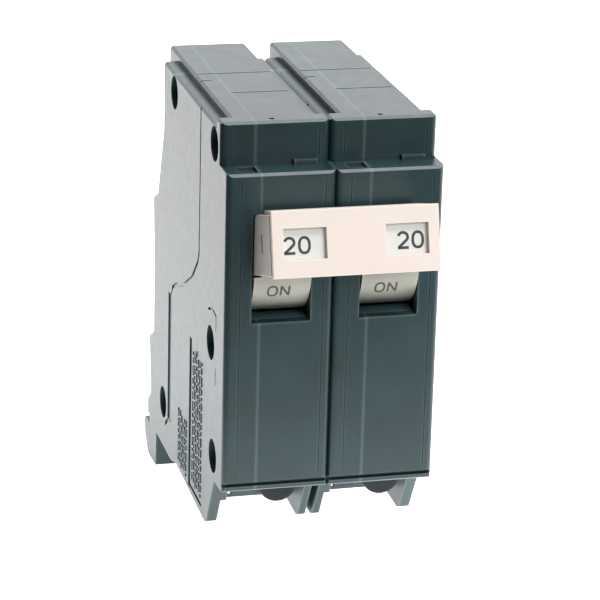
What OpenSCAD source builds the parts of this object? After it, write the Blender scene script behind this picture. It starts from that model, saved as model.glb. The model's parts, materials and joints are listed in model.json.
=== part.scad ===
// Two-pole plug-on circuit breaker, switched on.
// X runs across the poles, +Y is towards the panel, +Z is towards the line end.
// The origin is the bottom of the rail slot in the mounting hook, midway between the poles.
// Every module is drawn in case coordinates: x from the left side of its pole, y from the front face,
// z from the lower edge of the front face. place() moves that into the part's frame.

/* [Case] */
// Pitch of the poles
pole_pitch = 19.05; // [19.05:0.05:19.2]
// Width of one pole's case
pole_w = 19; // [18.9:0.05:19]
// Height of the front face
face_h = 55.9; // [55:0.1:57]
// How far the line-end shoulder is set back from the front face
shoulder_d = 5.4; // [5:0.1:6]
// Height of the top plateau
plateau_z = 63.5; // [63.4:0.1:64]
// How far the side ledges lie below the plateau
ledge_drop = 1.5; // [1:0.1:1.6]
// Width of each side ledge
ledge_w = 2.3; // [2:0.1:2.4]
// Parting plane between cover and base
split_x = 6; // [5.8:0.1:6.1]
// Thickness of the side walls
wall = 1.8; // [1.6:0.1:1.8]
// Thickness of the front wall
front_wall = 2.2; // [2:0.1:2.4]
// Rounding of the upright front corners
corner_r = 1.2; // [0.8:0.1:1.5]
// Chamfer of the crosswise and lengthwise edges
chamfer = 0.45; // [0.3:0.05:0.5]

/* [Handle] */
// Depth of the handle pivot behind the front face
pivot_y = 9; // [8.8:0.1:9.2]
// Height of the handle pivot
pivot_z = 39; // [38.8:0.1:39.1]
// Angle of the handle above level when on
handle_tilt = 16.5; // [15:0.5:17]
// Radius of the handle's drum face
drum_r = 9.8; // [9.6:0.1:9.8]
// Width of the handle
handle_w = 10; // [9.8:0.1:10]
// Reach of the paddle's front from the pivot
paddle_reach = 21.7; // [21.5:0.1:21.8]
// How far the paddle's middle lies above the line through the pivot
paddle_lift = 1.9; // [1.7:0.1:2]
// Radius of the handle's trunnions
trunnion_r = 1.5; // [1.4:0.05:1.6]

/* [Tie] */
// Height of the tie's front plate
tie_h = 11.2; // [11:0.1:11.4]
// Thickness of the tie's sheet
tie_t = 1; // [0.8:0.1:1]
// Width of a window in the tie
window_w = 7.4; // [7:0.1:7.6]
// Height of a window in the tie
window_h = 5.2; // [5:0.1:5.4]

/* [Load terminal] */
// Centre of the terminal screw across the pole
screw_x = 12; // [11.8:0.1:12]
// Height of the terminal screw
screw_z = -4.1; // [-4.3:0.1:-4.1]
// Radius of the screw's head
screw_head_r = 3.5; // [3:0.1:3.5]
// Radius of the screw's shank
screw_r = 2; // [1.9:0.05:2.05]

/* [Clearances] */
// Radial clearance of a turning fit
run_fit = 0.05; // [0.03:0.01:0.08]
// Gap between pieces that only lie near each other
gap = 0.1; // [0.1:0.05:0.15]

/* [Hidden] */
$fn = 48;

// Small overlap that makes a cut run past a face
over = 1;
// Place of a window that a case half does not have
far_off = -100;
ledge_z = plateau_z - ledge_drop;
mid_x = 9.5;
inner_x = pole_w - wall;

// Rail slot in the hook: its bottom, its height and its mouth
slot_y = 66.4;
slot_z = -13.8;
slot_h = 1.8;

// Handle slot in the front
slot_x = 4.6;
slot_w = 10.4;
slot_reach = 9.7;
handle_x = 4.85;
handle_mid = handle_x + handle_w / 2;
end_tab_x = 5;
tie_w = 2 * (handle_mid + pole_pitch / 2 - end_tab_x);
paddle_x = end_tab_x + tie_t + gap;
paddle_w = handle_x + handle_w - gap - paddle_x;
paddle_h = tie_h - 2 * tie_t - 4 * gap;
tie_front = paddle_reach + gap;

// Rivet places, [y, z, depth of the counterbore], and the rivets' radii
rivets = [[10.4, 58.5, 4], [45, 58.5, 4], [11.2, 22.2, 4], [53, -5, 4], [8.2, 2, 2.4]];
bore_r = 3.1;
boss_r = 4.3;
shank_r = 1.6;
shank_fit = 0.05;

// Load-end pocket and its walls
pocket_x0 = 3;
pocket_x1 = 15.6;
pocket_rear = 23.5;
pocket_roof = -0.3;
prong_x0 = 2;
prong_x1 = 17;
prong_step_z = -7.4;
prong_relief = 0.6;
floor_z = -13.2;

// Width and depth of the upright mould lines
line_w = 0.25;
line_depth = 0.12;

// Depth of the relief lines on the side faces
relief_depth = 0.26;

// Line-end jaw chamber
core_rear = 60.5;
jaw_mouth = 4.6;
jaw_z0 = 47.5;
jaw_z1 = 61.4;
strap_z = 50.4;
strap_t = 1.4;
contact_y = 37;
contact_z = 48.5;
pad_r = 2.4;
pad_t = 1.4;

// Mechanism pivots, [y, z]
arm_pivot = [33, 26];
cradle_pivot = [20, 14];
armature_pivot = [41.2, 22];
bar_at = [28, 14.8];
pin_r = 1.2;
hub_r = 2.5;
lane_w = 4;
load_strap_y = 17.3;
load_strap_z = 3.1;

module place(pole) translate([pole * pole_pitch - pole_pitch, -slot_y, -slot_z]) children();

// Extrudes a (y, z) outline from x0 to x1
module slab(x0, x1) translate([x0, 0, 0]) rotate([90, 0, 90]) linear_extrude(x1 - x0) children();

// A rod along X at [y, z]
module rod(at, r, x0, x1) translate([x0, at[0], at[1]]) rotate([0, 90, 0]) cylinder(r = r, h = x1 - x0);

// A box between two corners
module block(a, b) translate(a) cube(b - a);

// A straight bar of width w between two (y, z) points
module bar(p, q, w) {
  d = q - p;
  translate(p) rotate(atan2(d[1], d[0])) translate([-w / 2, -w / 2]) square([norm(d) + w, w]);
}

// A line of bars through a list of points
module track(points, w) for (i = [1:len(points) - 1]) bar(points[i - 1], points[i], w);

// Points of an arc round c, from angle a0 to a1 in n steps
function ring(c, r, a0, a1, n) = [for (i = [0:n]) let (a = a0 + (a1 - a0) * i / n) c + r * [cos(a), sin(a)]];

// Side view of the case, with the top at height top and the upper rear at depth rear
module case_outline(top, rear) polygon(concat(
  [[0, 0], [0, face_h - chamfer], [chamfer, face_h], [shoulder_d, face_h]],
  [[shoulder_d, top - chamfer], [shoulder_d + chamfer, top], [rear, top], [rear, 49]],
  [[59.7, 35], [64, 33], [62.8, 20], [62.8, 6], [67.2, 3.5], [65.5, -5], [65.5, -8], [68.3, -10]],
  [[68.3, slot_z + slot_h / 2], [slot_y, slot_z + slot_h / 2], [slot_y, slot_z - slot_h / 2]],
  [[70.6, slot_z - slot_h / 2], [72, -15.8], [71, -18.5]],
  ring([66.5, -17.5], 4, -30, -90, 4),
  [[60, -21], [59.5, -13.9], [45, -13.8], [40, -12.5]],
  [[14.2, floor_z], [13, floor_z + 0.5], [12.3, floor_z + 1.6], [6.7, -2.2]],
  [[3, -1.9], [0.8, -1.9], [0.3, -1.5], [0.3, -0.9], [0.9, -0.7], [0.9, -0.3], [0.2, -0.2]]));

// Space for the mechanism inside the case
module cavity_outline() difference() {
  polygon([[front_wall, 7.2], [front_wall, 53.8], [16, 53.8], [16, 61.2], [39.8, 61.2], [39.8, 53],
    [52, 53], [52, 49.4], [57, 35.4], [60.4, 31], [60.4, 0.5], [47.4, 0.5], [47.4, -11],
    [pocket_rear + wall, -11], [pocket_rear + wall, 1.2], [13.4, 1.2], [13.4, 7.2]]);
  for (r = rivets) translate([r[0], r[1]]) circle(boss_r);
}

// Relief lines on both side faces: the long curved groove, the short groove and its foot
module side_relief() {
  track([[21.7, ledge_z + over], [21.7, 35.5], [22.6, 33.4], [27.7, 28.7], [34.9, 24.9],
    [42, 22.6], [45, 21], [46.2, 19]], 0.7);
  translate([45.4, -6.3]) square([3.2, 25.4]);
  track([[47, -6], [50.4, -8.4]], 0.8);
  translate([26.7, -12]) square([2, 29.2]);
  track([[17.4, -11.4], [27, -11.4]], 0.7);
  track([[7, 25.9], [7, 28.5], [10, 28.9], [13.2, 27.8]], 0.45);
  track([[7, 15.9], [7, 18.7]], 0.45);
}

// The load-end pocket for the wire, its front opening and the strap's way through its roof
module load_pocket() {
  block([pocket_x0, 4.5, floor_z - 3], [pocket_x1, pocket_rear, pocket_roof]);
  block([pocket_x0, -over, floor_z - 3], [pocket_x1, 5, -5.4]);
  block([8.3, -over, floor_z - 3], [prong_x1, pocket_rear, -2.4]);
  block([prong_x0, -over, floor_z - 3], [prong_x1, pocket_rear, prong_step_z]);
  block([4 - gap, load_strap_y - gap, pocket_roof - over], [15 + gap, load_strap_y + strap_t + gap, 2]);
}

// The jaw chamber and its mouth towards the panel
module jaw_chamber() {
  block([4, 49.3, jaw_z0], [15, 58.8, jaw_z1]);
  block([mid_x - jaw_mouth / 2, 58, jaw_z0], [mid_x + jaw_mouth / 2, core_rear + over, jaw_z1]);
}

// What rounding takes off an upright corner at [x, y]; side is -1 at a left corner and 1 at a right one
module corner_cut(x, y, side, z0, z1) translate([x, y, z0]) linear_extrude(z1 - z0) difference() {
  translate([side > 0 ? -corner_r : -over, -over]) square([corner_r + over, corner_r + over]);
  translate([-side * corner_r, corner_r]) circle(corner_r);
}

// What the chamfer takes off a lengthwise edge at [x, z]
module edge_cut(x, z, side, y0, y1) translate([x, y0, z]) rotate([-90, 0, 0]) linear_extrude(y1 - y0)
  polygon([[side * over, -over], [side * over, chamfer + over], [-side * (chamfer + over), -over]]);

// Upright corners and lengthwise edges of one pole's outside
module outer_rounding() for (side = [-1, 1]) {
  x = side < 0 ? 0 : pole_w;
  corner_cut(x, 0, side, -2, face_h + 0.01);
  corner_cut(x, shoulder_d, side, face_h, plateau_z + over);
  edge_cut(x, ledge_z, side, 8.7, 60);
  edge_cut(x - side * ledge_w, plateau_z, side, 8.7, core_rear + over);
  edge_cut(x, plateau_z, side, shoulder_d - over, 8.7);
}

// Low step on the shoulder
module shoulder_steps() block([12.6, 4.4, face_h - over],
  [pole_w - ledge_w, shoulder_d + over, face_h + 0.9]);

// One pole's case as a closed shell, before it is split, with the trip bar's window in the wall at window_x
module case_shell(window_x) difference() {
  union() {
    difference() {
      union() {
        slab(0, pole_w) case_outline(ledge_z, 54.5);
        slab(ledge_w, pole_w - ledge_w) case_outline(plateau_z, core_rear);
        slab(0, pole_w) polygon([[shoulder_d, face_h], [shoulder_d, plateau_z - chamfer],
          [shoulder_d + chamfer, plateau_z], [8.7, plateau_z], [8.7, face_h]]);
        shoulder_steps();
      }
      slab(wall, inner_x) cavity_outline();
    }
    // Bearings for the handle's trunnions and seats for the two pins
    rod([pivot_y, pivot_z], 3.4, wall - 0.2, slot_x - gap);
    rod([pivot_y, pivot_z], 3.4, slot_x + slot_w + gap, inner_x + 0.2);
    for (at = [arm_pivot, cradle_pivot]) {
      rod(at, 2.2, wall - 0.2, split_x);
      rod(at, 2.2, 13.2, inner_x + 0.2);
    }
  }
  outer_rounding();
  block([2.4, 1.2, face_h - 0.5], [5.6, 4.6, face_h + over]);
  // Faint upright mould lines on the front and on the shoulder
  for (x = [2.4, pole_w - 2]) {
    block([x, -over, 1.2], [x + line_w, line_depth, face_h - 1.2]);
    block([x, shoulder_d - over, face_h + 1.2], [x + line_w, shoulder_d + line_depth, plateau_z - 1.2]);
  }
  jaw_chamber();
  load_pocket();
  // Handle slot
  block([slot_x, -over, pivot_z - slot_reach], [slot_x + slot_w, front_wall + 0.01, pivot_z + slot_reach]);
  rod([pivot_y, pivot_z], trunnion_r + run_fit, 2, inner_x - 0.1);
  for (at = [arm_pivot, cradle_pivot]) rod(at, pin_r + 0.02, 2, inner_x - 0.1);
  // Rivet holes with deep counterbores
  for (r = rivets) {
    rod([r[0], r[1]], shank_r + shank_fit, -over, pole_w + over);
    rod([r[0], r[1]], bore_r, -over, r[2]);
    rod([r[0], r[1]], bore_r, pole_w - r[2], pole_w + over);
  }
  block([window_x - 2, 25.6, 12.9], [window_x + 2, 29.9, 19.3]);
  // Gap between the neighbouring prongs of the two poles
  block([window_x - prong_relief, 4, floor_z - over], [window_x + prong_relief, 24, -2.2]);
  slab(-over, relief_depth) side_relief();
  slab(pole_w - relief_depth, pole_w + over) side_relief();
  // Cross lines on the plateau and the ledge line beside it
  block([ledge_w + 0.4, 38.3, plateau_z - 0.4], [pole_w - ledge_w, 38.7, plateau_z + over]);
  block([split_x, 24.6, plateau_z - 0.4], [pole_w - ledge_w, 25, plateau_z + over]);
  block([1.9, 33.6, plateau_z - 0.4], [4.4, 34, plateau_z + over]);
  plateau_dent();
}

// Small dent in the plateau's front
module plateau_dent() translate([9.1, 7, plateau_z - 0.3]) cylinder(r = 0.5, h = 1);

module case_cover(window_x) color("#4a5c60") intersection() {
  case_shell(window_x);
  block([-over, -over, -30], [split_x - 0.01, 80, 70]);
}

module case_base(window_x) color("#46575c") intersection() {
  case_shell(window_x);
  block([split_x, -over, -30], [pole_w + over, 80, 70]);
}

// Five long rivets that clamp both poles
module case_rivets() color("#6d6f70") for (r = rivets) {
  far = pole_pitch + pole_w - r[2];
  rod([r[0], r[1]], shank_r, r[2] - 0.01, far + 0.01);
  rod([r[0], r[1]], 2.8, r[2] - 1, r[2] - 0.01);
  rod([r[0], r[1]], 2.8, far + 0.01, far + 1);
}

// Turns a shape drawn with its paddle along -Y into the on position
module handle_frame() translate([0, pivot_y, pivot_z]) rotate([-handle_tilt, 0, 0]) children();

// Drum, paddle and web, with the paddle's left side set in for the tie's end tab
module handle_block() {
  difference() {
    intersection() {
      union() {
        difference() {
          rod([0, 0], drum_r, handle_x, handle_x + handle_w);
          rod([0, 0], drum_r - 2, handle_x - over, handle_x + handle_w + over);
        }
        rod([0, 0], drum_r - 1, mid_x - 1.5, mid_x + 1.5);
      }
      block([0, -20, -20], [20, 1, 20]);
    }
    block([handle_x - over, -drum_r - over, paddle_lift - tie_h / 2 - 0.2],
      [paddle_x, -7, paddle_lift + 4.4]);
  }
  block([paddle_x, -paddle_reach, paddle_lift - paddle_h / 2],
    [paddle_x + paddle_w, -drum_r + 2.6, paddle_lift + paddle_h / 2]);
  rod([0, 0], 3.2, mid_x - 4.5, mid_x + 4.8);
  block([mid_x - 1.5, 0, -1.6], [mid_x + 1.5, 9, 1.6]);
}

module handle(flip) color("#c9c3b6") {
  handle_frame() {
    if (flip) translate([2 * handle_mid, 0, 0]) mirror([1, 0, 0]) handle_block();
    else handle_block();
    rod([0, 0], trunnion_r, 2.1, inner_x - 0.2);
  }
}

// One formed channel over both paddles: front plate with two windows, two flanges, two end tabs
module handle_tie() color("#e8d8cc") {
  x1 = end_tab_x + tie_w;
  half = tie_h / 2;
  handle_frame() translate([0, 0, paddle_lift]) difference() {
    union() {
      block([end_tab_x, -tie_front - tie_t, -half], [x1, -tie_front, half]);
      for (s = [-1, 1]) block([end_tab_x + 1.1, -tie_front - tie_t, s * half - (s > 0 ? tie_t : 0)],
        [x1 - 1.1, -13.3, s * half + (s > 0 ? 0 : tie_t)]);
      for (x = [end_tab_x, x1 - tie_t]) slab(x, x + tie_t)
        polygon([[-tie_front - 0.5, 4.9], [-12.2, 4.9], [-9.6, 4.2], [-7.6, -5.4], [-tie_front - 0.5, -5.2]]);
    }
    for (x = [6.9, end_tab_x + x1 - 6.9 - window_w])
      block([x, -tie_front - 2, -window_h / 2], [x + window_w, -tie_front + over, window_h / 2]);
    for (x = [end_tab_x - over, x1 - 0.4]) block([x, -16, -1.4], [x + over + 0.4, -15.3, 1.6]);
  }
}

// Copper strap with two spring fingers that grip the bus stab
module line_jaw() color("#b87347") {
  for (s = [-1, 1]) translate([mid_x, 0, 48]) linear_extrude(13) polygon([[s * 4.2, 50.8], [s * 4.2, 53],
    [s * 2.3, 56.6], [s * 2.9, 58.2], [s * 1.9, 58.5], [s * 1.1, 56.6], [s * 3, 52.4], [0, 52.4], [0, 50.8]]);
  block([mid_x - 4, contact_y, strap_z], [mid_x + 4, 51, strap_z + strap_t]);
  block([mid_x - 4, contact_y, contact_z - 2.8], [mid_x + 4, contact_y + strap_t, strap_z + strap_t]);
}

module jaw_spring() color("#8f9496") translate([mid_x, 0, 54]) linear_extrude(5.5) {
  translate([-4.95, 49.9]) square([9.9, 0.7]);
  for (s = [-1, 1]) polygon([[s * 4.95, 50], [s * 4.35, 50], [s * 4.35, 53.1], [s * 2.7, 56.3], [s * 3.3, 56.6],
    [s * 4.95, 53.3]]);
}

// A round contact pad on axis Y
module pad(y0) translate([mid_x, y0, contact_z]) rotate([-90, 0, 0]) cylinder(r = pad_r, h = pad_t - 0.05);

module fixed_contact() color("#d9dadb") pad(contact_y - pad_t + 0.04);

module moving_contact() color("#d9dadb") pad(contact_y - 2 * pad_t - 0.04);

// Lever that carries the moving contact, with its pivot at the bottom
module contact_arm() color("#b87347") {
  y1 = contact_y - 2 * pad_t - 0.05;
  slab(mid_x - lane_w / 2, mid_x + lane_w / 2) difference() {
    union() {
      translate(arm_pivot) circle(hub_r);
      polygon([[y1 - 1.6, 51.4], [y1, 51.4], [y1, 46], [35, 27], [31, 25], [31.4, 44]]);
    }
    translate(arm_pivot) circle(pin_r + run_fit);
  }
  rod([32.2, 40], 0.9, mid_x + lane_w / 2 - 0.01, mid_x + 6);
}

module pivot_pin(at) color("#9ea2a4") rod(at, pin_r, 2.1, inner_x - 0.2);

// Coil spring as a closed sleeve with wound ribs, beside the arm
module toggle_spring() color("#8a8f92") {
  low = [27.5, 22];
  high = [31.6, 37.8];
  d = high - low;
  n = 12;
  translate([mid_x + 4.3, low[0], low[1]]) rotate([atan2(-d[0], d[1]), 0, 0]) {
    cylinder(r = 0.9, h = norm(d));
    for (i = [0:n - 1]) translate([0, 0, (i + 0.25) * norm(d) / n]) cylinder(r = 1.5, h = 0.8);
  }
}

// Trip lever that the armature holds back
module cradle() color("#7d8285") slab(mid_x - lane_w / 2, mid_x + lane_w / 2) difference() {
  union() {
    translate(cradle_pivot) circle(hub_r);
    polygon([[20, 16.4], [30, 17.4], [38.8, 14.6], [38.8, 13], [30, 12.3], [20, 11.6]]);
  }
  translate(cradle_pivot) circle(pin_r + run_fit);
  translate(bar_at) circle(1.25);
}

// Bar that joins both cradles, so that a fault on one pole trips the other
module trip_bar() color("#2e3133") rod(bar_at, 1.2, mid_x - 3, pole_pitch + mid_x + 3);

module bimetal() color("#a9a39a") block([mid_x - 2.8, 44, load_strap_z + strap_t + 0.01],
  [mid_x + 2.8, 45, 30]);

// U-shaped magnet round the bimetal, with ears and a pin for the armature
module magnet_yoke() color("#6b7073") {
  block([3.4, 46.6, 8], [15.6, 48, 18]);
  for (x = [3.4, 14.3]) {
    block([x, 42, 8], [x + 1.3, 48, 18]);
    slab(x, x + 1.3) polygon([[42, 17], [46, 17], [armature_pivot[0] + 1.4, 23.4], [armature_pivot[0] - 1.4, 23.4],
      [armature_pivot[0] - 1.4, 20.6]]);
  }
  rod(armature_pivot, 0.8, 3.4, 15.6);
}

module armature() color("#5d6265") difference() {
  union() {
    block([5, 39.2, 8], [14, 40.6, 22]);
    rod(armature_pivot, 1.6, 5, 14);
  }
  rod(armature_pivot, 0.8 + run_fit, 4, 15);
  block([mid_x - 2.3, 38, 10.5], [mid_x + 2.3, 42, 17.5]);
}

// Flexible copper lead from the bimetal to the contact arm
module braid() color("#b06f45") slab(mid_x - 2.6, mid_x + 2.6)
  track([[43.1, 28.4], [40.4, 32.4], [37.4, 30.6]], 1.1);

// Insulating side boards of the arc chute
module arc_boards() color("#b9ad92") for (x = [2.1, 16.2]) block([x, 20.6, 53.3], [x + 0.7, 37.6, 60.9]);

// Steel plates that split the arc, each with a V notch
module arc_plates() color("#868b8e") for (i = [0:4]) translate([0, 22 + 3.2 * i, 0]) rotate([90, 0, 0])
  linear_extrude(1) polygon([[2.9, 60.6], [2.9, 53.4], [6.4, 53.4], [mid_x, 57.4], [12.6, 53.4], [16.1, 53.4],
    [16.1, 60.6]]);

// Strap from the screw terminal to the foot of the bimetal, tapped for the screw
module load_terminal() color("#c4c2b8") difference() {
  union() {
    block([4, load_strap_y, -9.5], [15, load_strap_y + strap_t, load_strap_z + strap_t]);
    block([5, load_strap_y, load_strap_z], [14, 46, load_strap_z + strap_t]);
  }
  translate([screw_x, load_strap_y - over, screw_z]) rotate([-90, 0, 0]) cylinder(r = screw_r + 0.06, h = 4);
}

// Plate under the screw's head that clamps the wire
module pressure_plate() color("#b5b6b2") difference() {
  block([4.2, 11.2, -7.2], [15.2, 12.6, pocket_roof - 0.3]);
  translate([screw_x, 10, screw_z]) rotate([-90, 0, 0]) cylinder(r = screw_r + run_fit, h = 4);
}

// Slotted round-head screw, turned from the front
module terminal_screw() color("#54595b") translate([screw_x, 0, screw_z]) difference() {
  rotate([-90, 0, 0]) union() {
    translate([0, 0, 8]) cylinder(r = screw_head_r, h = 3.15);
    translate([0, 0, 11]) cylinder(r = screw_r, h = 10);
  }
  block([-4, 7, -0.5], [4, 9.2, 0.5]);
}

place(0) case_cover(far_off);  // case_cover_a
place(1) case_cover(0);  // case_cover_b
place(0) case_base(pole_w);  // case_base_a
place(1) case_base(far_off);  // case_base_b
place(0) case_rivets();
place(0) handle(false);  // handle_a
place(1) handle(true);  // handle_b
place(0) handle_tie();
place(0) line_jaw();  // line_jaw_a
place(1) line_jaw();  // line_jaw_b
place(0) jaw_spring();  // jaw_spring_a
place(1) jaw_spring();  // jaw_spring_b
place(0) fixed_contact();  // fixed_contact_a
place(1) fixed_contact();  // fixed_contact_b
place(0) moving_contact();  // moving_contact_a
place(1) moving_contact();  // moving_contact_b
place(0) contact_arm();  // contact_arm_a
place(1) contact_arm();  // contact_arm_b
place(0) pivot_pin(arm_pivot);  // arm_pin_a
place(1) pivot_pin(arm_pivot);  // arm_pin_b
place(0) toggle_spring();  // toggle_spring_a
place(1) toggle_spring();  // toggle_spring_b
place(0) cradle();  // cradle_a
place(1) cradle();  // cradle_b
place(0) pivot_pin(cradle_pivot);  // cradle_pin_a
place(1) pivot_pin(cradle_pivot);  // cradle_pin_b
place(0) trip_bar();
place(0) bimetal();  // bimetal_a
place(1) bimetal();  // bimetal_b
place(0) magnet_yoke();  // magnet_yoke_a
place(1) magnet_yoke();  // magnet_yoke_b
place(0) armature();  // armature_a
place(1) armature();  // armature_b
place(0) braid();  // braid_a
place(1) braid();  // braid_b
place(0) arc_boards();  // arc_boards_a
place(1) arc_boards();  // arc_boards_b
place(0) arc_plates();  // arc_plates_a
place(1) arc_plates();  // arc_plates_b
place(0) load_terminal();  // load_terminal_a
place(1) load_terminal();  // load_terminal_b
place(0) pressure_plate();  // pressure_plate_a
place(1) pressure_plate();  // pressure_plate_b
place(0) terminal_screw();  // terminal_screw_a
place(1) terminal_screw();  // terminal_screw_b
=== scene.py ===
"""Looks of a two-pole plug-on circuit breaker: finishes, markings, fine pieces, studio and camera."""

import json
import logging
import math
from dataclasses import dataclass, field
from enum import Enum
from typing import Any, Callable, Iterable, Sequence

import bmesh
import bpy
from mathutils import Matrix, Vector

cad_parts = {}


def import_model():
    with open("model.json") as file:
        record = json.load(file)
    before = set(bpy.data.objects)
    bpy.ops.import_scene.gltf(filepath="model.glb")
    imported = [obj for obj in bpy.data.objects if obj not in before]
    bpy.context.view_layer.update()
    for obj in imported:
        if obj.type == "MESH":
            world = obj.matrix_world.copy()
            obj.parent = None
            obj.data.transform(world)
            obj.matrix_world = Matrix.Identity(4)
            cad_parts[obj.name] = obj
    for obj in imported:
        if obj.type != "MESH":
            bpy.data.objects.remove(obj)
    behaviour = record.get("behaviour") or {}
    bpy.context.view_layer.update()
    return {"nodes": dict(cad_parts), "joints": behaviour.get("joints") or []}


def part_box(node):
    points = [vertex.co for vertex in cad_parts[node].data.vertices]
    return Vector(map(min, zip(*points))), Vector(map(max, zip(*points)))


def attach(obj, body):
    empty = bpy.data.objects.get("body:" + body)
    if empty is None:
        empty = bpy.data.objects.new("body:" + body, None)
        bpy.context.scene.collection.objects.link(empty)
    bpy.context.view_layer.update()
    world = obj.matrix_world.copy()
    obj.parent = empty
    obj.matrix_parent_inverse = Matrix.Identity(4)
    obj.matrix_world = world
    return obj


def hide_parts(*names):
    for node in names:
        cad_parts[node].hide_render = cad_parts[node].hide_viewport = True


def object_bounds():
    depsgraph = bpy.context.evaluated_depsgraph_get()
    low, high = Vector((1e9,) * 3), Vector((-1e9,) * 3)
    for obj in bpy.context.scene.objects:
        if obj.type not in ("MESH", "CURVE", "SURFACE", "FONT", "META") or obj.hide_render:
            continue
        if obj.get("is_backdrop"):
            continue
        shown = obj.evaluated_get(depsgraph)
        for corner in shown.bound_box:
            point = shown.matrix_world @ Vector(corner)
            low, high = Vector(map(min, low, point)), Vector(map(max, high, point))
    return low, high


LOG = logging.getLogger("breaker")
MM = 0.001
POLES = ("a", "b")
Colour = tuple[float, float, float]
Point = tuple[float, float]
Placer = Callable[[float, float, float], Vector]

FRAME: dict[str, Any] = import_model()

# Sockets of the Mix node in its colour mode.
MIX_FACTOR, MIX_FIRST, MIX_SECOND, MIX_RESULT = 0, 6, 7, 2

# How soften tells doubled points, flat faces and edges, in metres and radians.
WELD_GAP = 2e-6
FLAT_ANGLE = math.radians(0.5)
EDGE_ANGLE = math.radians(28)


# ---------------------------------------------------------------- node graphs and meshes


class Graph:
    """A material's node tree, with short calls for its nodes and links."""

    CREVICE_RAYS: int = 8
    CREVICE_SPAN: tuple[float, float] = (0.25, 0.8)
    EDGE_HIGHLIGHT_RAYS: int = 6
    EDGE_HIGHLIGHT_SPAN: tuple[float, float] = (0.4, 0.85)

    def __init__(self, name: str) -> None:
        """Makes the material and keeps its Principled shader.

        Args:
            name: the material's name.
        """
        self.material = bpy.data.materials.new(name)
        self.material.use_nodes = True
        self.tree = self.material.node_tree
        self.shader = self.tree.nodes["Principled BSDF"]
        self.place = self.node("ShaderNodeTexCoord").outputs["Object"]

    def node(self, kind: str, **values: Any) -> bpy.types.Node:
        """Adds a node and sets its properties or its inputs by name.

        Args:
            kind: the node's type.
            values: property names, or input names with spaces written as underscores.

        Returns:
            The new node.
        """
        made = self.tree.nodes.new(kind)
        for key, value in values.items():
            if hasattr(made, key):
                setattr(made, key, value)
            else:
                made.inputs[key.replace("_", " ")].default_value = value
        return made

    def link(self, source: Any, target: Any) -> None:
        """Links an output to an input."""
        self.tree.links.new(source, target)

    def noise(self, scale: float, detail: float = 3.0, stretch: Sequence[float] = (1, 1, 1)) -> Any:
        """Noise in the object's own metres.

        Args:
            scale: features per metre.
            detail: octaves.
            stretch: scale along each axis.

        Returns:
            The noise's factor output.
        """
        mapping = self.node("ShaderNodeMapping")
        mapping.inputs["Scale"].default_value = stretch
        self.link(self.place, mapping.inputs["Vector"])
        made = self.node("ShaderNodeTexNoise", Scale=scale, Detail=detail)
        self.link(mapping.outputs["Vector"], made.inputs["Vector"])
        return made.outputs["Fac"]

    def spread(self, source: Any, low: float, high: float, start: float = 0.3, end: float = 0.7) -> Any:
        """Maps a factor from start..end to low..high.

        Args:
            source: the factor.
            low: the result at start.
            high: the result at end.
            start: where the factor begins.
            end: where the factor ends.

        Returns:
            The mapped output.
        """
        made = self.node("ShaderNodeMapRange")
        for name, value in (("From Min", start), ("From Max", end), ("To Min", low), ("To Max", high)):
            made.inputs[name].default_value = value
        self.link(source, made.inputs["Value"])
        return made.outputs["Result"]

    def mix(self, factor: Any, first: Any, second: Any) -> Any:
        """Mixes two colours, each a tuple or an output.

        Args:
            factor: the mixing factor.
            first: the colour at 0.
            second: the colour at 1.

        Returns:
            The mixed colour.
        """
        made = self.node("ShaderNodeMix", data_type="RGBA")
        self.link(factor, made.inputs[MIX_FACTOR])
        for socket, value in ((made.inputs[MIX_FIRST], first), (made.inputs[MIX_SECOND], second)):
            if isinstance(value, tuple):
                socket.default_value = (*value, 1)
            else:
                self.link(value, socket)
        return made.outputs[MIX_RESULT]

    def bump(self, heights: Iterable[tuple[Any, float]]) -> None:
        """Chains bumps into the shader's normal.

        Args:
            heights: pairs of a height factor and its distance in metres.
        """
        normal = None
        for height, distance in heights:
            made = self.node("ShaderNodeBump", Strength=1.0, Distance=distance)
            self.link(height, made.inputs["Height"])
            if normal is not None:
                self.link(normal, made.inputs["Normal"])
            normal = made.outputs["Normal"]
        self.link(normal, self.shader.inputs["Normal"])

    def crevice(self, reach: float) -> Any:
        """A factor that is 1 deep in corners and gaps and 0 in the open; the finishes use it for painted
        shade in their colour, and the plastics also use it for rougher pockets.

        Args:
            reach: how far the darkening reaches, in metres.

        Returns:
            The crevice factor.
        """
        made = self.node("ShaderNodeAmbientOcclusion", samples=self.CREVICE_RAYS)
        made.inputs["Distance"].default_value = reach
        return self.spread(made.outputs["AO"], 1.0, 0.0, *self.CREVICE_SPAN)

    def edge_highlight(self, reach: float) -> Any:
        """A factor that is 1 on convex edges and 0 on flats, which the finishes use for painted edge
        highlights.

        Args:
            reach: how far the edge reaches into the flat, in metres.

        Returns:
            The edge factor.
        """
        made = self.node("ShaderNodeAmbientOcclusion", inside=True, samples=self.EDGE_HIGHLIGHT_RAYS)
        made.inputs["Distance"].default_value = reach
        return self.spread(made.outputs["AO"], 1.0, 0.0, *self.EDGE_HIGHLIGHT_SPAN)


def mesh_object(
    name: str, verts: Sequence[Any], faces: Sequence[Sequence[int]], smooth: bool = False
) -> bpy.types.Object:
    """Makes an object from points in metres.

    Args:
        name: the object's name.
        verts: its points.
        faces: its faces.
        smooth: whether its faces are shaded smooth.

    Returns:
        The object, linked to the scene.
    """
    mesh = bpy.data.meshes.new(name)
    mesh.from_pydata([tuple(v) for v in verts], [], [tuple(f) for f in faces])
    box = bmesh.new()
    box.from_mesh(mesh)
    bmesh.ops.recalc_face_normals(box, faces=box.faces)
    box.to_mesh(mesh)
    box.free()
    for face in mesh.polygons:
        face.use_smooth = smooth
    made = bpy.data.objects.new(name, mesh)
    bpy.context.scene.collection.objects.link(made)
    return made


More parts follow.
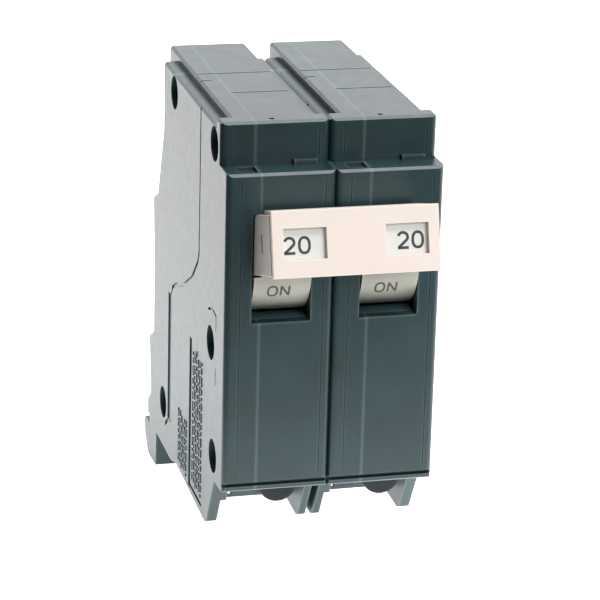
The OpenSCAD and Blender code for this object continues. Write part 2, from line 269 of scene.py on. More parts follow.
def split(line: Sequence[Point], step: float) -> list[Point]:
    """A line with extra points, so that it can follow a curved face.

    Args:
        line: its corners.
        step: the longest gap left.

    Returns:
        The corners and the points between them.
    """
    made = [line[0]]
    for before, after in zip(line, line[1:]):
        count = max(1, math.ceil(math.dist(before, after) / step))
        start, end = Vector(before), Vector(after)
        made += [tuple(start.lerp(end, i / count)) for i in range(1, count + 1)]
    return made


@dataclass
class Shape:
    """Points and faces gathered from many small forms, before they become one object."""

    verts: list[Vector] = field(default_factory=list)
    faces: list[list[int]] = field(default_factory=list)

    def add(self, verts: Iterable[Vector], faces: Iterable[Sequence[int]]) -> None:
        """Adds a form.

        Args:
            verts: its points.
            faces: its faces, counted from its own first point.
        """
        start = len(self.verts)
        self.verts.extend(verts)
        self.faces.extend([start + i for i in face] for face in faces)

    def prism(self, near: Sequence[Vector], far: Sequence[Vector]) -> None:
        """Adds a solid between two outlines with as many points as each other.

        Args:
            near: the first outline.
            far: the second outline.
        """
        count = len(near)
        faces = [list(range(count)), list(range(count, 2 * count))]
        faces += [[i, (i + 1) % count, count + (i + 1) % count, count + i] for i in range(count)]
        self.add([*near, *far], faces)

    def ribbon(
        self, line: Sequence[Point], width: float, height: float, place: Placer, closed: bool = False
    ) -> None:
        """Adds a flat stroke of ink or a raised rib along a line.

        Args:
            line: points of the stroke's middle.
            width: the stroke's width.
            height: how far it stands proud.
            place: turns (across, up, out) into a point of the part.
            closed: whether the line returns to its start.
        """
        count = len(line)
        points: list[Vector] = []
        for i, (x, y) in enumerate(line):
            before = line[i - 1] if closed or i else line[i]
            after = line[(i + 1) % count] if closed or i + 1 < count else line[i]
            along = Vector((after[0] - before[0], after[1] - before[1])).normalized()
            side = Vector((-along.y, along.x)) * width / 2
            for s, out in ((1, 0.0), (1, height), (-1, height), (-1, 0.0)):
                points.append(place(x + s * side.x, y + s * side.y, out))
        faces = []
        for i in range(count if closed else count - 1):
            a, b = 4 * i, 4 * ((i + 1) % count)
            faces += [[a + k, a + k + 1, b + k + 1, b + k] for k in range(3)]
        if not closed:
            faces += [[0, 1, 2, 3], [4 * count - 4, 4 * count - 3, 4 * count - 2, 4 * count - 1]]
        self.add(points, faces)

    def tube(self, path: Sequence[Vector], radius: float, sides: int) -> None:
        """Adds a round tube along a path, with flat ends.

        Args:
            path: its middle points.
            radius: its radius.
            sides: its sides.
        """
        points: list[Vector] = []
        side = Vector((1, 0, 0))
        for i, here in enumerate(path):
            along = (path[min(i + 1, len(path) - 1)] - path[max(i - 1, 0)]).normalized()
            side = (side - along * side.dot(along)).normalized()
            other = along.cross(side)
            for k in range(sides):
                turn = 2 * math.pi * k / sides
                points.append(here + radius * (side * math.cos(turn) + other * math.sin(turn)))
        faces = []
        for i in range(len(path) - 1):
            for k in range(sides):
                n = (k + 1) % sides
                faces.append([i * sides + k, i * sides + n, (i + 1) * sides + n, (i + 1) * sides + k])
        faces += [list(range(sides)), list(range((len(path) - 1) * sides, len(path) * sides))]
        self.add(points, faces)

    def object(self, name: str, material: bpy.types.Material, smooth: bool = False) -> bpy.types.Object:
        """Makes the object.

        Args:
            name: its name.
            material: its finish.
            smooth: whether its faces are shaded smooth.

        Returns:
            The object.
        """
        made = mesh_object(name, self.verts, self.faces, smooth)
        made.data.materials.append(material)
        return made


def dress(node: str, material: bpy.types.Material) -> bpy.types.Object:
    """Gives a CAD node a finish.

    Args:
        node: the node's name.
        material: its finish.

    Returns:
        The node's object.
    """
    made = FRAME["nodes"][node]
    made.data.materials.clear()
    made.data.materials.append(material)
    return made


def soften(made: bpy.types.Object, width: float, segments: int = 2, join_flats: bool = True) -> None:
    """Rounds an object's edges as a mould or a press leaves them.

    Args:
        made: the object.
        width: the rounding's width in metres.
        segments: its segments.
        join_flats: whether triangles in one plane become one face first, which suits faces without windows.
    """
    weld = made.modifiers.new("weld", "WELD")
    weld.merge_threshold = WELD_GAP
    if join_flats:
        flat = made.modifiers.new("flat", "DECIMATE")
        flat.decimate_type = "DISSOLVE"
        flat.angle_limit = FLAT_ANGLE
    bevel = made.modifiers.new("bevel", "BEVEL")
    bevel.width, bevel.segments = width, segments
    bevel.limit_method, bevel.angle_limit = "ANGLE", EDGE_ANGLE
    bevel.use_clamp_overlap = True
    bevel.harden_normals = True
    for face in made.data.polygons:
        face.use_smooth = True
    normals = made.modifiers.new("normals", "WEIGHTED_NORMAL")
    normals.keep_sharp = True


# ---------------------------------------------------------------- finishes


@dataclass(frozen=True)
class MouldedPlastic:
    """Filled thermoset with a fine spark-eroded texture, with a painted highlight on its edges and painted
    shade in its corners and gaps.
    """

    name: str
    colour: Colour
    edge: Colour
    roughness: float = 0.42
    grain: float = 2600.0
    grain_depth: float = 0.000003
    # Share of the colour left in the painted shade of corners and gaps.
    painted_shade: float = 0.5
    clouds: float = 95.0
    dark: float = 0.8
    light: float = 1.2
    edge_reach: float = 0.0006
    # How far the painted shade reaches from corners and gaps, in metres.
    painted_shade_reach: float = 0.0012
    patches: float = 420.0
    glossier: float = 0.015
    duller: float = 0.02
    pocket_reach: float = 0.008
    pocket_roughness: float = 0.95
    pocket_span: tuple[float, float] = (0.6, 0.95)

    def build(self) -> bpy.types.Material:
        """Makes the material.

        Returns:
            The material.
        """
        graph = Graph(self.name)
        cloud = graph.spread(graph.noise(self.clouds, 4), 0.0, 1.0)
        fleck = graph.noise(self.grain, 2)
        dark = tuple(c * self.dark for c in self.colour)
        light = tuple(min(1.0, c * self.light) for c in self.colour)
        base = graph.mix(cloud, dark, light)
        # Painted highlight: convex edges take the lighter edge colour, standing in for light caught on the
        # rounded edges.
        base = graph.mix(graph.edge_highlight(self.edge_reach), base, self.edge)
        # Painted shade: corners, gaps and recesses take a darker copy of the colour, where shade falls.
        base = graph.mix(graph.crevice(self.painted_shade_reach), base, tuple(c * self.painted_shade for c in self.colour))
        graph.link(base, graph.shader.inputs["Base Color"])
        patches = graph.noise(self.patches, 3)
        rough = graph.spread(patches, self.roughness - self.glossier, self.roughness + self.duller)
        deep = graph.spread(graph.crevice(self.pocket_reach), 0.0, self.pocket_roughness, *self.pocket_span)
        lift = graph.node("ShaderNodeMath", operation="MAXIMUM")
        graph.link(rough, lift.inputs[0])
        graph.link(deep, lift.inputs[1])
        graph.link(lift.outputs[0], graph.shader.inputs["Roughness"])
        graph.bump([(fleck, self.grain_depth)])
        return graph.material


@dataclass(frozen=True)
class PaintedSheet:
    """Baked enamel on formed sheet, with a faint orange-peel, a painted highlight on its edges and painted
    shade in its corners.
    """

    name: str
    colour: Colour
    edge: Colour
    roughness: float = 0.38
    duller: float = 0.1
    clouds: float = 140.0
    dark: float = 0.96
    edge_reach: float = 0.0004
    # Share of the colour left in the painted shade of corners, and how far that shade reaches.
    painted_shade: float = 0.35
    painted_shade_reach: float = 0.0012
    patches: float = 700.0
    peel: float = 900.0
    peel_depth: float = 0.00001

    def build(self) -> bpy.types.Material:
        """Makes the material.

        Returns:
            The material.
        """
        graph = Graph(self.name)
        cloud = graph.spread(graph.noise(self.clouds, 4), 0.0, 1.0)
        base = graph.mix(cloud, tuple(c * self.dark for c in self.colour), self.colour)
        # Painted highlight: convex edges take the lighter edge colour, standing in for light caught on the
        # rounded edges.
        base = graph.mix(graph.edge_highlight(self.edge_reach), base, self.edge)
        # Painted shade: corners and gaps take a darker copy of the colour, where shade falls.
        base = graph.mix(graph.crevice(self.painted_shade_reach), base, tuple(c * self.painted_shade for c in self.colour))
        graph.link(base, graph.shader.inputs["Base Color"])
        rough = graph.spread(graph.noise(self.patches, 3), self.roughness, self.roughness + self.duller)
        graph.link(rough, graph.shader.inputs["Roughness"])
        graph.bump([(graph.noise(self.peel, 2), self.peel_depth)])
        return graph.material


@dataclass(frozen=True)
class Metal:
    """Bare or plated metal, drawn or rolled along one axis."""

    name: str
    colour: Colour
    tarnish: Colour
    roughness: float = 0.32
    drawn_along: tuple[float, float, float] = (1.0, 1.0, 0.08)
    glossier: float = 0.08
    duller: float = 0.14
    spots: float = 260.0
    spot_share: float = 0.7
    spot_span: tuple[float, float] = (0.45, 0.75)
    lines: float = 5200.0
    line_depth: float = 0.000004

    def build(self) -> bpy.types.Material:
        """Makes the material.

        Returns:
            The material.
        """
        graph = Graph(self.name)
        graph.shader.inputs["Metallic"].default_value = 1.0
        spots = graph.spread(graph.noise(self.spots, 5), 0.0, self.spot_share, *self.spot_span)
        graph.link(graph.mix(spots, self.colour, self.tarnish), graph.shader.inputs["Base Color"])
        lines = graph.noise(self.lines, 2, self.drawn_along)
        rough = graph.spread(lines, self.roughness - self.glossier, self.roughness + self.duller)
        graph.link(rough, graph.shader.inputs["Roughness"])
        graph.bump([(lines, self.line_depth)])
        return graph.material


@dataclass(frozen=True)
class PressedFibre:
    """Vulcanised fibre board with a mottled face."""

    name: str
    colour: Colour
    roughness: float = 0.8
    dark: float = 0.72
    layers: tuple[float, float, float] = (1.0, 3.0, 1.0)
    mottle: float = 900.0
    fuzz: float = 2400.0
    fuzz_depth: float = 0.00002

    def build(self) -> bpy.types.Material:
        """Makes the material.

        Returns:
            The material.
        """
        graph = Graph(self.name)
        mottle = graph.spread(graph.noise(self.mottle, 5, self.layers), 0.0, 1.0)
        base = graph.mix(mottle, tuple(c * self.dark for c in self.colour), self.colour)
        graph.link(base, graph.shader.inputs["Base Color"])
        graph.shader.inputs["Roughness"].default_value = self.roughness
        graph.bump([(graph.noise(self.fuzz, 3, self.layers), self.fuzz_depth)])
        return graph.material


@dataclass(frozen=True)
class PrintedInk:
    """Pad-printed ink, a little uneven in its edge and density."""

    name: str
    colour: Colour
    roughness: float = 0.55
    thin: float = 1.9
    thin_share: float = 0.6
    patches: float = 3200.0
    ripple: float = 2600.0
    ripple_depth: float = 0.000006

    def build(self) -> bpy.types.Material:
        """Makes the material.

        Returns:
            The material.
        """
        graph = Graph(self.name)
        density = graph.spread(graph.noise(self.patches, 3), 0.0, self.thin_share)
        base = graph.mix(density, self.colour, tuple(min(1.0, c * self.thin) for c in self.colour))
        graph.link(base, graph.shader.inputs["Base Color"])
        graph.shader.inputs["Roughness"].default_value = self.roughness
        graph.bump([(graph.noise(self.ripple, 2), self.ripple_depth)])
        return graph.material


class Finish(Enum):
    """The finishes of the breaker's pieces."""

    CASE = MouldedPlastic("case_plastic", (0.011, 0.035, 0.040), (0.08, 0.13, 0.135), 0.36)
    # Painted light: a lighter copy of the case plastic for the slot's sill, which the lamps barely reach.
    SILL = MouldedPlastic("sill_painted_light", (0.035, 0.10, 0.11), (0.06, 0.15, 0.16), 0.6)
    # Painted shade: a darker, greyer copy of the tie's enamel for the end tabs, which face away from the
    # light.
    TAB = PaintedSheet("tie_end_painted_shade", (0.40, 0.40, 0.355), (0.6, 0.57, 0.52), 0.5)
    HANDLE = MouldedPlastic("handle_plastic", (0.33, 0.33, 0.28), (0.45, 0.45, 0.4), 0.42)
    LABEL = MouldedPlastic("label_face", (0.76, 0.76, 0.73), (0.78, 0.78, 0.75), 0.45, painted_shade=0.95)
    TIE = PaintedSheet("tie_enamel", (0.85, 0.74, 0.67), (0.93, 0.84, 0.78))
    STEEL = Metal("zinc_steel", (0.62, 0.63, 0.64), (0.42, 0.43, 0.42), 0.3)
    DARK_STEEL = Metal("blackened_steel", (0.075, 0.085, 0.088), (0.035, 0.035, 0.035), 0.42)
    SCREW = MouldedPlastic("phosphated_screw", (0.012, 0.02, 0.022), (0.05, 0.06, 0.06), 0.8)
    COPPER = Metal("copper_strip", (0.80, 0.45, 0.29), (0.45, 0.24, 0.15), 0.27)
    SILVER = Metal("silver_pad", (0.88, 0.87, 0.85), (0.55, 0.53, 0.5), 0.25)
    TIN = Metal("tinned_strip", (0.74, 0.73, 0.70), (0.55, 0.54, 0.5), 0.35)
    BIMETAL = Metal("bimetal_strip", (0.60, 0.57, 0.52), (0.42, 0.38, 0.33), 0.3)
    FIBRE = PressedFibre("fibre_board", (0.52, 0.44, 0.30))
    INK = PrintedInk("marking_ink", (0.035, 0.035, 0.033))

    def material(self) -> bpy.types.Material:
        """The finish's material, made at its first use.

        Returns:
            The material.
        """
        return bpy.data.materials.get(self.value.name) or self.value.build()


# ---------------------------------------------------------------- the breaker


@dataclass
class Layout:
    """Places that several sub-assemblies share, taken from the frame."""

    pitch: float = 19.05 * MM
    pole_w: float = 19.0 * MM
    front_h: float = 63.5 * MM
    left: float = 0.0
    front: float = 0.0
    lip: float = 0.0
    pivot: Vector = field(default_factory=Vector)
    tilt: float = math.radians(16.5)

    def read(self) -> "Layout":
        """Reads the places from the CAD nodes and the handle's joint.

        Returns:
            The layout itself.
        """
        low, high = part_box("case_cover_a")
        self.left, self.front = low.x, low.y
        self.lip = high.z - self.front_h
        swing = next(j for j in FRAME["joints"] if j["name"] == "handle_swing")
        self.pivot = Vector(swing["pos_m"])
        return self

    def at(self, x: float, y: float, z: float, pole: int = 0) -> Vector:
        """A point given in millimetres from the pole's left side, the front face and its lower edge.

        Args:
            x: across.
            y: inwards.
            z: up.
            pole: 0 for the left pole, 1 for the right.

        Returns:
            The point in metres.
        """
        return Vector((self.left + pole * self.pitch + x * MM, self.front + y * MM, self.lip + z * MM))

    def on_handle(self, x: float, out: float, up: float, pole: int) -> Vector:
        """A point of the handle in its own tilted frame.

        Args:
            x: across the pole, in millimetres.
            out: distance from the pivot towards the user, in millimetres.
            up: distance above the pivot's line, in millimetres.
            pole: 0 for the left pole, 1 for the right.

        Returns:
            The point in metres.
        """
        c, s = math.cos(self.tilt), math.sin(self.tilt)
        y = -out * c + up * s
        z = out * s + up * c
        return Vector((self.left + pole * self.pitch + x * MM, self.pivot.y + y * MM, self.pivot.z + z * MM))


@dataclass
class CaseShells:
    """The four moulded case halves, with rounded edges."""

    layout: Layout
    edge: float = 0.45 * MM
    sill_edge: float = 0.1 * MM
    sill_span: tuple[float, float] = (4.7, 14.9)
    sill_side: tuple[Point, ...] = ((2.25, 29.3), (5.2, 29.55), (6.6, 29.1), (6.6, 27.9), (2.25, 27.9))

    def build(self) -> list[bpy.types.Object]:
        """Dresses the halves.

        Returns:
            The dressed nodes and the sills.
        """
        made = []
        for pole in POLES:
            for half in ("case_cover", "case_base"):
                shell = dress(f"{half}_{pole}", Finish.CASE.material())
                soften(shell, self.edge, 3)
                made.append(shell)
        return made + [self.sill(i) for i in range(len(POLES))]

    def sill(self, pole: int) -> bpy.types.Object:
        """A sloping sill inside the handle's slot, below the drum, in a lighter copy of the case plastic that
        paints in light the slot does not get.

        Args:
            pole: which pole.

        Returns:
            The piece.
        """
        near, far = ([self.layout.at(x, y, z, pole) for y, z in self.sill_side] for x in self.sill_span)
        shape = Shape()
        shape.prism(near, far)
        made = shape.object(f"slot_sill_{POLES[pole]}", Finish.SILL.material())
        soften(made, self.sill_edge)
        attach(made, "housing")
        return made


@dataclass
class SideRelief:
    """Raised moulding marks on both outer faces: upright columns of plain dashes in two fields."""

    layout: Layout
    height: float = 0.2
    sunk: float = 0.02
    stroke: float = 0.4
    gap: float = 0.55
    columns: int = 6
    stagger: float = 0.8
    shortest: float = 0.5
    extra: float = 1.3
    column_turn: float = 2.1
    dash_turns: tuple[float, float] = (1.7, 2.3)
    end_margin: float = 1.0
    fields: tuple[tuple[float, float, float, float], ...] = (
        (17.4, 26.0, -10.2, 16.4),
        (30.4, 38.6, -11.4, -0.4),
    )

    def dashes(self, y0: float, y1: float, z0: float, z1: float) -> list[list[Point]]:
        """Upright columns of short dashes that fill a field, with lengths that vary down each column.

        Args:
            y0: the field's front edge.
            y1: its rear edge.
            z0: its lower edge.
            z1: its upper edge.

        Returns:
            The dashes, each a line of two points.
        """
        lines = []
        for i in range(self.columns):
            y = y0 + (i + 0.5) * (y1 - y0) / self.columns
            z = z0 + self.stagger * math.sin(self.column_turn * i) ** 2
            k = 0
            while z < z1 - self.end_margin:
                turn = self.dash_turns[0] * i + self.dash_turns[1] * k
                length = self.shortest + self.extra * math.sin(turn) ** 2
                lines.append([(y, z), (y, min(z + length, z1))])
                z += length + self.gap
                k += 1
        return lines

    def on_side(self, side: int) -> Placer:
        """Placer on one outer face.

        Args:
            side: -1 for the left face and 1 for the right.

        Returns:
            The placer, which takes (inwards, up, out).
        """
        layout = self.layout
        face = layout.left if side < 0 else layout.left + layout.pitch + layout.pole_w
        return lambda y, z, out: Vector((face + side * (out - self.sunk) * MM, *layout.at(0, y, z).yz))

    def build(self) -> list[bpy.types.Object]:
        """Makes the marks of both faces.

        Returns:
            The two pieces.
        """
        lines = [line for corners in self.fields for line in self.dashes(*corners)]
        made = []
        for side, name in ((-1, "side_marks_left"), (1, "side_marks_right")):
            shape = Shape()
            for line in lines:
                shape.ribbon(line, self.stroke, self.height, self.on_side(side))
            piece = shape.object(name, Finish.CASE.material())
            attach(piece, "housing")
            made.append(piece)
        return made


class Glyph(Enum):
    """Plain stroke forms of the markings, one unit high."""

    ZERO = "0"
    TWO = "2"
    O = "O"
    N = "N"
    F = "F"

    def strokes(self) -> list[tuple[list[Point], bool]]:
        """The glyph's strokes.

        Returns:
            Lines of points and whether each is closed.
        """
        if self in (Glyph.ZERO, Glyph.O):
            half = 0.34 if self is Glyph.ZERO else 0.38
            steps = 36
            oval = []
            for i in range(steps):
                c, s = math.cos(2 * math.pi * i / steps), math.sin(2 * math.pi * i / steps)
                x, y = (math.copysign(abs(v) ** 0.85, v) for v in (c, s))
                oval.append((half * x, 0.5 + 0.5 * y))
            return [(oval, True)]
        if self is Glyph.TWO:
            angles = [math.radians(a) for a in range(165, -41, -12)]
            bow = [(0.32 * math.cos(a), 0.7 + 0.3 * math.sin(a)) for a in angles]
            return [(bow + [(-0.33, 0.0)], False), ([(-0.36, 0.0), (0.37, 0.0)], False)]
        if self is Glyph.N:
            lines = [[(-0.33, 0), (-0.33, 1)], [(-0.33, 1), (0.33, 0)], [(0.33, 0), (0.33, 1)]]
        else:
            lines = [[(-0.25, 0), (-0.25, 1)], [(-0.25, 1), (0.3, 1)], [(-0.25, 0.52), (0.2, 0.52)]]
        return [(line, False) for line in lines]


@dataclass(frozen=True)
class Marking:
    """A short marking: its glyphs' height, the pen's width and the step between glyphs, in millimetres."""

    text: str
    height: float
    pen: float
    step: float


@dataclass
class HandlePair:
    """Both switching handles with their markings and label faces."""

    layout: Layout
    edge: float = 0.35 * MM
    drum: float = 9.8
    face: float = 21.7
    lift: float = 1.9
    middle: float = 9.35
    ink: float = 0.03
    split_step: float = 0.3
    rating: Marking = Marking("20", 2.55, 0.46, 2.55)
    rating_drop: float = 0.25
    rating_x: tuple[float, float] = (9.4, 9.85)
    on: Marking = Marking("ON", 2.1, 0.34, 2.2)
    on_turn: tuple[float, float] = (-41, -44)
    off: Marking = Marking("OFF", 2.1, 0.3, 1.9)
    off_turn: float = 62
    label_h: float = 6.6
    label_x: tuple[Point, Point] = ((6.3, 14.5), (5.2, 13.4))
    label_proud: float = 0.045
    label_sunk: float = 0.06
    label_corner: float = 0.5
    corner_steps: int = 4

    def write(self, marking: Marking, place: Placer, middle: float, drop: float = 0) -> Shape:
        """Writes a short marking.

        Args:
            marking: the marking.
            place: turns (across, up, out) into a point.
            middle: where the marking's middle lies across.
            drop: how far the marking lies below the placer's line.

        Returns:
            The strokes.
        """
        shape = Shape()
        height = marking.height
        for i, letter in enumerate(marking.text):
            centre = middle + (i - (len(marking.text) - 1) / 2) * marking.step
            for line, closed in Glyph(letter).strokes():
                points = [(centre + x * height, (y - 0.5) * height - drop) for x, y in line]
                stroke = points if closed else split(points, self.split_step)
                shape.ribbon(stroke, marking.pen, self.ink, place, closed)
        return shape

    def on_face(self, pole: int) -> Placer:
        """Placer on the flat front of the paddle.

        Args:
            pole: which handle.

        Returns:
            The placer.
        """
        front = self.face + self.label_proud
        return lambda x, up, out: self.layout.on_handle(x, front + out, self.lift + up, pole)

    def on_drum(self, pole: int, turn: float) -> Placer:
        """Placer wrapped on the drum.

        Args:
            pole: which handle.
            turn: the marking's middle, in degrees above the paddle's line.

        Returns:
            The placer.
        """

        def place(x: float, up: float, out: float) -> Vector:
            """A point on the drum's surface.

            Args:
                x: across the pole.
                up: along the curved surface from the marking's middle.
                out: distance above the surface.

            Returns:
                The point in metres.
            """
            angle = math.radians(turn) + up / self.drum
            r = self.drum + out
            return self.layout.on_handle(x, r * math.cos(angle), r * math.sin(angle), pole)

        return place

    def label(self, pole: int) -> bpy.types.Object:
        """The pale face that carries the rating.

        Args:
            pole: which handle.

        Returns:
            The piece.
        """
        x0, x1 = self.label_x[pole]
        place = self.on_face(pole)
        half, corner, steps = self.label_h / 2, self.label_corner, self.corner_steps
        outline = []
        for cx, cy, start in (
            (x1 - corner, half - corner, 0),
            (x0 + corner, half - corner, 90),
            (x0 + corner, corner - half, 180),
            (x1 - corner, corner - half, 270),
        ):
            for k in range(steps + 1):
                a = math.radians(start + 90 * k / steps)
                outline.append((cx + corner * math.cos(a), cy + corner * math.sin(a)))
        near, far = ([place(x, y, height) for x, y in outline] for height in (-self.label_sunk, 0.0))
        shape = Shape()
        shape.prism(near, far)
        return shape.object(f"label_{POLES[pole]}", Finish.LABEL.material())

    def build(self) -> list[bpy.types.Object]:
        """Dresses the handles and adds their markings.

        Returns:
            The pieces.
        """
        made = []
        for i, pole in enumerate(POLES):
            soften(dress(f"handle_{pole}", Finish.HANDLE.material()), self.edge, 3)
            rating = self.write(self.rating, self.on_face(i), self.rating_x[i], self.rating_drop)
            words = {
                "on": self.write(self.on, self.on_drum(i, self.on_turn[i]), self.middle),
                "off": self.write(self.off, self.on_drum(i, self.off_turn), self.middle),
            }
            ink = Finish.INK.material()
            pieces = [
                self.label(i),
                rating.object(f"rating_{pole}", ink),
                *(shape.object(f"{word}_mark_{pole}", ink) for word, shape in words.items()),
            ]
            for piece in pieces:
                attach(piece, "handle_set")
            made += pieces
        return made


@dataclass
class HandleTie:
    """The formed channel over both paddles, with a duller, darker panel of painted shade on each end tab."""

    layout: Layout
    edge: float = 0.3 * MM
    proud: float = 0.12
    sunk: float = 0.05
    slot: float = 0.5
    slot_proud: float = 0.03
    panel: tuple[Point, ...] = ((21.7, 6.65), (12.1, 6.65), (9.75, 5.95), (7.85, -3.35), (21.7, -3.15))
    slot_line: tuple[Point, Point] = ((15.7, 0.4), (15.7, 3.6))

    def end(self, side: int) -> list[bpy.types.Object]:
        """The panel of painted shade on one end tab and the dark strip painted in for the slot in it.

        Args:
            side: -1 for the left end and 1 for the right.

        Returns:
            The two pieces.
        """
        low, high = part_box("handle_tie")
        face = (low.x if side < 0 else high.x) - self.layout.left

        def place(out: float, up: float, height: float) -> Vector:
            """A point of this end, height above its face."""
            return self.layout.on_handle(face / MM + side * height, out, up, 0)

        near, far = ([place(*corner, height) for corner in self.panel] for height in (-self.sunk, self.proud))
        plate, slot = Shape(), Shape()
        plate.prism(near, far)
        # Painted shade: the slot is not cut; a dark strip stands proud where the open slot would be dark.
        slot.ribbon(self.slot_line, self.slot, self.proud + self.slot_proud, place)
        word = "left" if side < 0 else "right"
        made = [
            plate.object(f"tie_panel_{word}", Finish.TAB.material()),
            slot.object(f"tie_slot_{word}", Finish.INK.material()),
        ]
        for piece in made:
            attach(piece, "handle_set")
        return made

    def build(self) -> list[bpy.types.Object]:
        """Dresses the tie and adds its end panels.

        Returns:
            The node and the pieces.
        """
        made = dress("handle_tie", Finish.TIE.material())
        soften(made, self.edge, 3, join_flats=False)
        return [made, *self.end(-1), *self.end(1)]


@dataclass
class Fasteners:
    """The case rivets and both load terminals."""

    layout: Layout
    round_edge: float = 0.35 * MM
    strip_edge: float = 0.15 * MM

    def build(self) -> list[bpy.types.Object]:
        """Dresses the fasteners.

        Returns:
            The nodes.
        """
        rows = [("case_rivets", Finish.DARK_STEEL, self.round_edge)]
        for pole in POLES:
            rows.append((f"terminal_screw_{pole}", Finish.SCREW, self.round_edge))
            rows.append((f"pressure_plate_{pole}", Finish.DARK_STEEL, self.strip_edge))
            rows.append((f"load_terminal_{pole}", Finish.TIN, self.strip_edge))
        made = []
        for node, finish, edge in rows:
            made.append(dress(node, finish.material()))
            soften(made[-1], edge, 3)
        return made


@dataclass
class Mechanism:
    """The pieces inside each pole."""

    layout: Layout
    edge: float = 0.12 * MM
    wire: float = 0.28
    wire_sides: int = 8
    coil: float = 1.2
    turns: int = 13
    turn_steps: int = 20
    hook: float = 0.6
    lead: float = 0.08
    wound: float = 0.84
    bend: float = 0.05
    finishes: dict[str, Finish] = field(
        default_factory=lambda: {
            "line_jaw": Finish.COPPER,
            "jaw_spring": Finish.STEEL,
            "fixed_contact": Finish.SILVER,
            "moving_contact": Finish.SILVER,
            "contact_arm": Finish.COPPER,
            "arm_pin": Finish.STEEL,
            "cradle": Finish.STEEL,
            "cradle_pin": Finish.STEEL,
            "bimetal": Finish.BIMETAL,
            "magnet_yoke": Finish.DARK_STEEL,
            "armature": Finish.DARK_STEEL,
            "braid": Finish.COPPER,
            "arc_boards": Finish.FIBRE,
            "arc_plates": Finish.STEEL,
            "toggle_spring": Finish.STEEL,
        }
    )

    def spring(self, pole: int) -> bpy.types.Object:
        """A close-wound coil with a hook at each end, in place of the plain sleeve.

        Args:
            pole: which pole.

        Returns:
            The piece.
        """
        node = f"toggle_spring_{POLES[pole]}"
        low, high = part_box(node)
        x = (low.x + high.x) / 2
        start = Vector((x, low.y + self.coil * MM, low.z + self.hook * MM))
        end = Vector((x, high.y - self.coil * MM, high.z - self.hook * MM))
        along = (end - start).normalized()
        side = Vector((1, 0, 0))
        other = along.cross(side)
        count = self.turns * self.turn_steps
        path = [start, start.lerp(end, self.bend)]
        for i in range(count + 1):
            a = 2 * math.pi * i / self.turn_steps
            out = side * math.cos(a) + other * math.sin(a)
            path.append(start.lerp(end, self.lead + self.wound * (i / count)) + self.coil * MM * out)
        path += [start.lerp(end, 1 - self.bend), end]
        shape = Shape()
        shape.tube(path, self.wire * MM, self.wire_sides)
        made = shape.object(f"toggle_coil_{POLES[pole]}", Finish.STEEL.material(), True)
        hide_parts(node)
        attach(made, f"arm_{POLES[pole]}")
        return made

    def build(self) -> list[bpy.types.Object]:
        """Dresses the mechanism.

        Returns:
            The new pieces.
        """
        for stem, finish in self.finishes.items():
            for pole in POLES:
                soften(dress(f"{stem}_{pole}", finish.material()), self.edge)
        dress("trip_bar", Finish.DARK_STEEL.material())
        return [self.spring(i) for i in range(len(POLES))]


# ---------------------------------------------------------------- studio


def grey(value: float) -> Colour:
    """An even grey."""
    return (value, value, value)


@dataclass(frozen=True)
class Lamp:
    """A soft square light, with its place and side in metres and its power in watts."""

    name: str
    place: tuple[float, float, float]
    side: float
    power: float


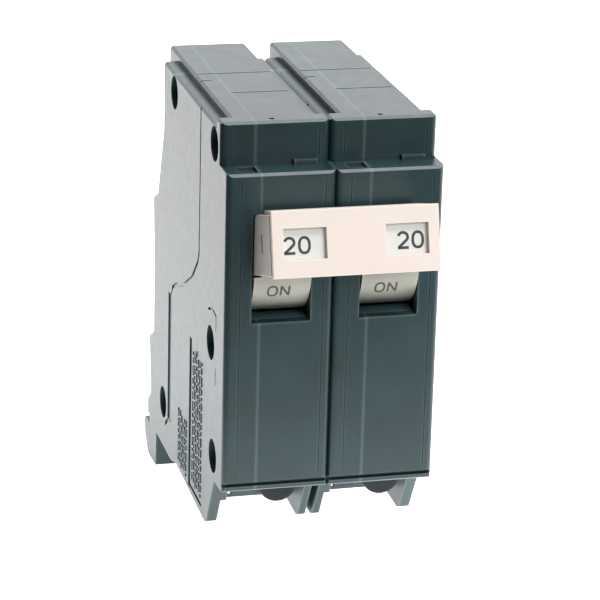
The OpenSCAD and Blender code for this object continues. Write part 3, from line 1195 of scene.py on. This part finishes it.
@dataclass
class Studio:
    """A pale sweep, soft lights and the camera."""

    layout: Layout
    sensor: float = 36.0
    clip: tuple[float, float] = (0.01, 20)
    lens: float = 159.3
    distance: float = 0.51
    azimuth: float = -14.4
    elevation: float = 19.07
    roll: float = 1.55
    target: tuple[float, float, float] = (26.26, 51.25, 14.84)
    glow: float = 1.5
    sky: float = 0.4
    lamps: tuple[Lamp, ...] = (
        Lamp("top", (0.1, 0.2, 1.2), 0.8, 6),
        Lamp("front", (0.4, -1.2, 0.7), 0.6, 7),
        Lamp("edges", (0.3, -0.45, 1.1), 0.4, 7),
    )
    lamp_aim: tuple[float, float, float] = (0, -0.03, 0.03)
    floor_gap: float = 0.0002
    floor_side: float = 4
    floor_near: float = -3.0
    sweep_start: float = 1.2
    sweep_run: float = 1.5
    sweep_rise: float = 1.8
    sweep_steps: int = 20
    near_fade: tuple[float, float] = (-0.2, -0.1)
    left_fade: tuple[float, float] = (-0.125, -0.1)
    left_slant: float = 0.4
    card_x: float = -0.24
    card_y: tuple[float, float] = (-0.4, 0.05)
    card_z: tuple[float, float] = (-0.02, 0.5)

    def camera(self) -> None:
        """Sets the camera at its distance, angle and roll round the target."""
        data = bpy.data.cameras.new("camera")
        data.lens, data.sensor_width = self.lens, self.sensor
        data.clip_start, data.clip_end = self.clip
        made = bpy.data.objects.new("camera", data)
        bpy.context.scene.collection.objects.link(made)
        aim = self.layout.at(*self.target)
        a, e = math.radians(self.azimuth), math.radians(self.elevation)
        back = Vector((math.sin(a) * math.cos(e), -math.cos(a) * math.cos(e), math.sin(e)))
        turn = (-back).to_track_quat("-Z", "Y").to_matrix() @ Matrix.Rotation(math.radians(self.roll), 3, "Z")
        made.matrix_world = Matrix.Translation(aim + back * self.distance) @ turn.to_4x4()
        bpy.context.scene.camera = made

    def floor(self) -> None:
        """Lays a pale floor that sweeps up behind and glows as a light, with its glow and colour going dark
        in front and on the left as painted shade.
        """
        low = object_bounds()[0]
        steps, side = self.sweep_steps, self.floor_side
        rows = [(self.floor_near, 0.0)]
        for i in range(steps + 1):
            rows.append((self.sweep_start + self.sweep_run * i / steps, self.sweep_rise * (i / steps) ** 2))
        verts = [Vector((x, y, low.z - self.floor_gap + z)) for y, z in rows for x in (-side, side)]
        faces = [[2 * i, 2 * i + 1, 2 * i + 3, 2 * i + 2] for i in range(len(rows) - 1)]
        graph = Graph("floor_paper")
        graph.shader.inputs["Roughness"].default_value = 0.9
        graph.shader.inputs["Emission Color"].default_value = (1, 1, 1, 1)
        split_axes = graph.node("ShaderNodeSeparateXYZ")
        graph.link(graph.place, split_axes.inputs[0])
        near = graph.spread(split_axes.outputs["Y"], 0.0, 1.0, *self.near_fade)
        slant = graph.node("ShaderNodeMath", operation="MULTIPLY_ADD")
        graph.link(split_axes.outputs["Y"], slant.inputs[0])
        slant.inputs[1].default_value = self.left_slant
        graph.link(split_axes.outputs["X"], slant.inputs[2])
        left = graph.spread(slant.outputs[0], 0.0, 1.0, *self.left_fade)
        lit = graph.node("ShaderNodeMath", operation="MULTIPLY")
        graph.link(near, lit.inputs[0])
        graph.link(left, lit.inputs[1])
        # The floor glows as a light behind the breaker, and its glow fades to nothing in front and on the
        # left.
        strength = graph.spread(lit.outputs[0], 0.0, self.glow, 0.0, 1.0)
        graph.link(strength, graph.shader.inputs["Emission Strength"])
        paper = graph.mix(graph.noise(30, 2), grey(0.93), grey(0.95))
        # Painted shade: the floor's colour goes dark with the same fade in front and on the left.
        graph.link(graph.mix(lit.outputs[0], grey(0.12), paper), graph.shader.inputs["Base Color"])
        made = mesh_object("floor", verts, faces, True)
        made.data.materials.append(graph.material)
        made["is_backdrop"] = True

    def flag(self) -> None:
        """Stands a black card on the left, so that the corners on that side stay dark."""
        (y0, y1), (z0, z1) = self.card_y, self.card_z
        verts = [Vector((self.card_x, y, z)) for y, z in ((y0, z0), (y1, z0), (y1, z1), (y0, z1))]
        graph = Graph("black_card")
        black = graph.mix(graph.noise(60, 2), grey(0.01), grey(0.015))
        graph.link(black, graph.shader.inputs["Base Color"])
        graph.shader.inputs["Roughness"].default_value = 0.95
        made = mesh_object("flag", verts, [[0, 1, 2, 3]])
        made.data.materials.append(graph.material)
        made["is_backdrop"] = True

    def light(self, lamp: Lamp) -> None:
        """Adds a soft light aimed at the breaker.

        Args:
            lamp: the light.
        """
        data = bpy.data.lights.new(lamp.name, "AREA")
        data.size, data.energy = lamp.side, lamp.power
        made = bpy.data.objects.new(lamp.name, data)
        bpy.context.scene.collection.objects.link(made)
        made.location = lamp.place
        aim = Vector(self.lamp_aim) - Vector(lamp.place)
        made.rotation_euler = aim.to_track_quat("-Z", "Y").to_euler()

    def build(self) -> None:
        """Builds the studio."""
        self.camera()
        self.floor()
        world = bpy.data.worlds.new("studio")
        world.use_nodes = True
        world.node_tree.nodes["Background"].inputs["Color"].default_value = (1, 1, 1, 1)
        world.node_tree.nodes["Background"].inputs["Strength"].default_value = self.sky
        bpy.context.scene.world = world
        bpy.context.scene.view_settings.view_transform = "Standard"
        for lamp in self.lamps:
            self.light(lamp)
        self.flag()


def main() -> None:
    """Builds every sub-assembly in order."""
    logging.basicConfig(level=logging.INFO, format="%(name)s: %(message)s")
    layout = Layout().read()
    for kind in (CaseShells, SideRelief, HandlePair, HandleTie, Fasteners, Mechanism):
        made = kind(layout).build()
        LOG.info("%s: %s", kind.__name__, ", ".join(m.name for m in made))
    Studio(layout).build()


if __name__ == "__main__":
    main()
